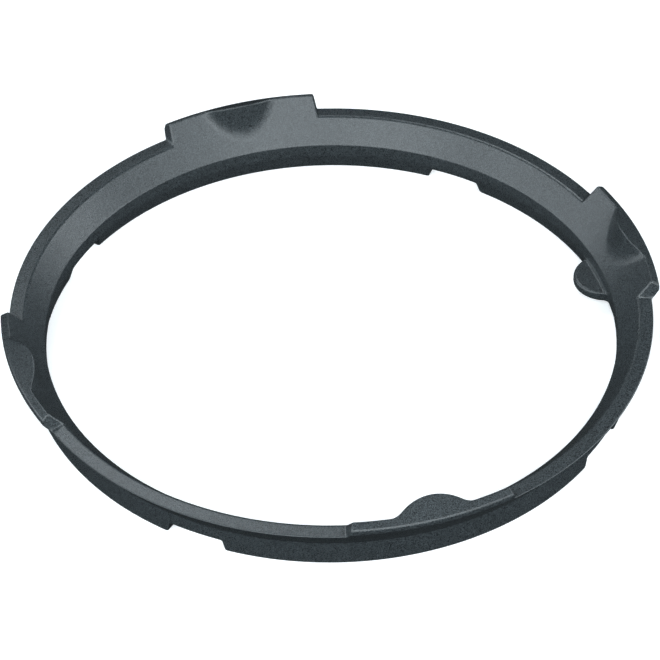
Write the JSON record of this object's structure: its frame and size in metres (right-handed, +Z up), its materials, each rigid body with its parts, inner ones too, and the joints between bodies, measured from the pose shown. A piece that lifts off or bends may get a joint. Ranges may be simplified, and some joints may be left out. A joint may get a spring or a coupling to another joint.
{
  "type": "pressure cooker sealing ring",
  "caption": "Moulded rubber lid seal for a stovetop pressure cooker, with raised lugs on the rim, notches through the foot and an inner pull tab.",
  "frame": {"origin": "on the ring's axis, level with the flat of the foot that it rests on", "axes": "+Z up along the ring's axis, from the foot to the lugs; +X from the axis through the lug that has the pull tab under it"},
  "size_m": [0.2314, 0.2314, 0.0284],
  "materials": {
    "silicone": "satin dark slate grey moulded silicone with a fine grain"
  },
  "bodies": {
    "root": {"sealing_ring": "silicone"}
  },
  "joints": []
}
